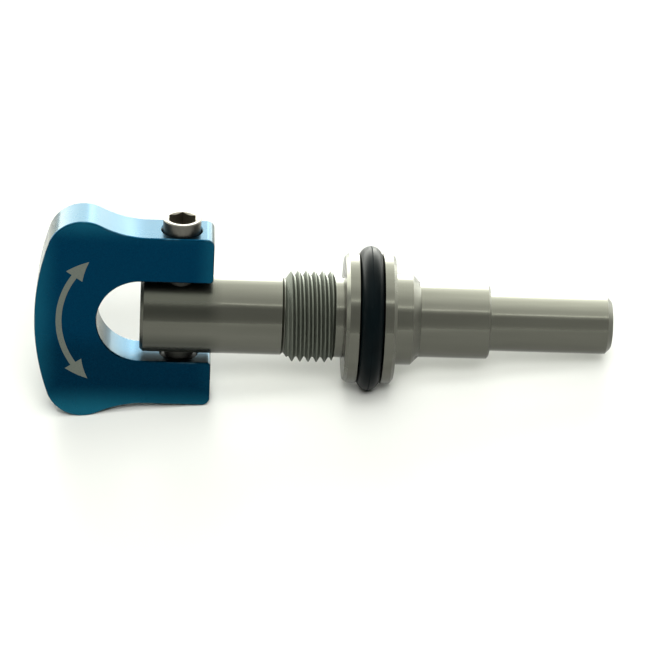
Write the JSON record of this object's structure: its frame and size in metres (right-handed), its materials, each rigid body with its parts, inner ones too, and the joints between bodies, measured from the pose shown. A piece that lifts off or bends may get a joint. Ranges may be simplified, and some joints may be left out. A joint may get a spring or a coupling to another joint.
{
  "type": "folding-handle sealing spindle",
  "caption": "Turned steel spindle with a short male thread, an O-ring sealing collar and a stepped pilot pin, pulled by a folding U-shaped anodised handle on dog-point pivot screws.",
  "frame": {"origin": "on the spindle's axis, in the plane of the collar's tip-side shoulder", "axes": "+X along the spindle towards its tip, +Z along the handle's pivot axis towards the proud screw, Y across the handle's plate"},
  "size_m": [0.0881, 0.022, 0.0328],
  "materials": {
    "steel": "fine turned, satin stainless",
    "seal_rubber": "smooth black nitrile rubber",
    "blue_anodised": "satin blue anodised, tumbled edges",
    "screw_steel": "turned stainless, bright rim"
  },
  "bodies": {
    "spindle": {"spindle": "steel", "o_ring": "seal_rubber"},
    "handle": {"handle": "blue_anodised", "upper_pivot_screw": "screw_steel", "lower_pivot_screw": "screw_steel"}
  },
  "joints": [
    {"name": "handle_fold", "type": "hinge", "parent": "spindle", "child": "handle", "pos_m": [-0.0327, 0, 0], "axis": [0, 0, 1], "range_deg": [-135, 135]}
  ]
}
